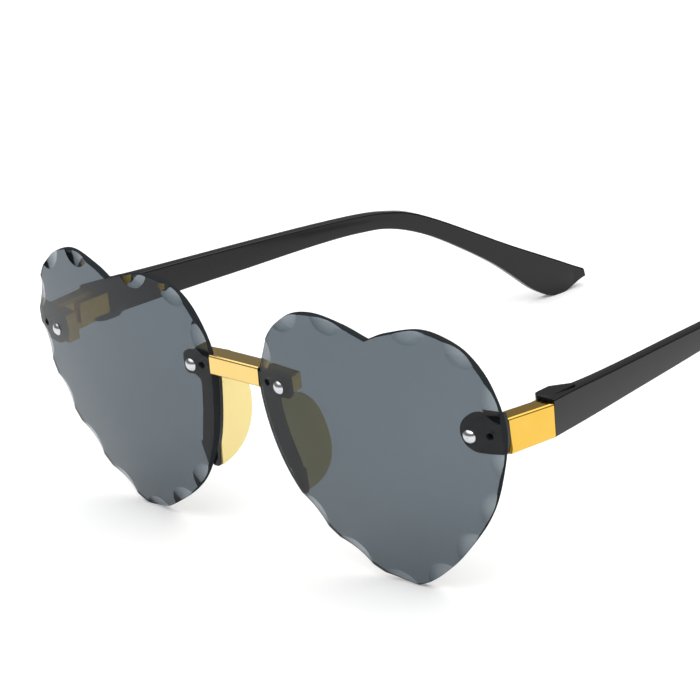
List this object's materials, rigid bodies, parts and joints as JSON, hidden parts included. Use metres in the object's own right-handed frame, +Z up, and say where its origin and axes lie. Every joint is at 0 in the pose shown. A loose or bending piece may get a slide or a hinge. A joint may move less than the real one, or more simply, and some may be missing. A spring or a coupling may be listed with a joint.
{
  "type": "heart shaped sunglasses",
  "caption": "Rimless heart shaped sunglasses with scalloped tinted lenses, gold bridge and end pieces, and black folding temples.",
  "frame": {"origin": "on the table, at the middle of the width and of the depth of the open glasses", "axes": "+Z up, +Y from the lenses back to the temple tips, +X to the wearer's left"},
  "size_m": [0.1266, 0.1601, 0.0538],
  "materials": {
    "tinted_lens": "clear tinted grey, polished",
    "black_plastic": "glossy moulded black",
    "gold_metal": "bright gold plate",
    "gold_plastic": "bright gold plate on plastic",
    "rivet_steel": "polished domed heads",
    "screw_steel": "turned"
  },
  "bodies": {
    "front": {"lens_left": "tinted_lens", "lens_right": "tinted_lens", "lens_rivets_left": "rivet_steel", "lens_rivets_right": "rivet_steel", "nose_plate_left": "black_plastic", "nose_plate_right": "black_plastic", "bridge": "gold_metal", "nose_pad_left": "gold_plastic", "nose_pad_right": "gold_plastic", "end_plate_left": "black_plastic", "end_plate_right": "black_plastic", "end_piece_left": "gold_metal", "end_piece_right": "gold_metal"},
    "temple_left_arm": {"temple_left": "black_plastic", "hinge_screw_left": "screw_steel"},
    "temple_right_arm": {"temple_right": "black_plastic", "hinge_screw_right": "screw_steel"}
  },
  "joints": [
    {"name": "temple_left_fold", "type": "hinge", "parent": "front", "child": "temple_left_arm", "pos_m": [-0.05954, -0.05868, 0.03508], "axis": [0, 0, -1], "range_deg": [0, 84]},
    {"name": "temple_right_fold", "type": "hinge", "parent": "front", "child": "temple_right_arm", "pos_m": [0.05954, -0.05868, 0.03508], "axis": [0, 0, 1], "range_deg": [0, 79]}
  ]
}
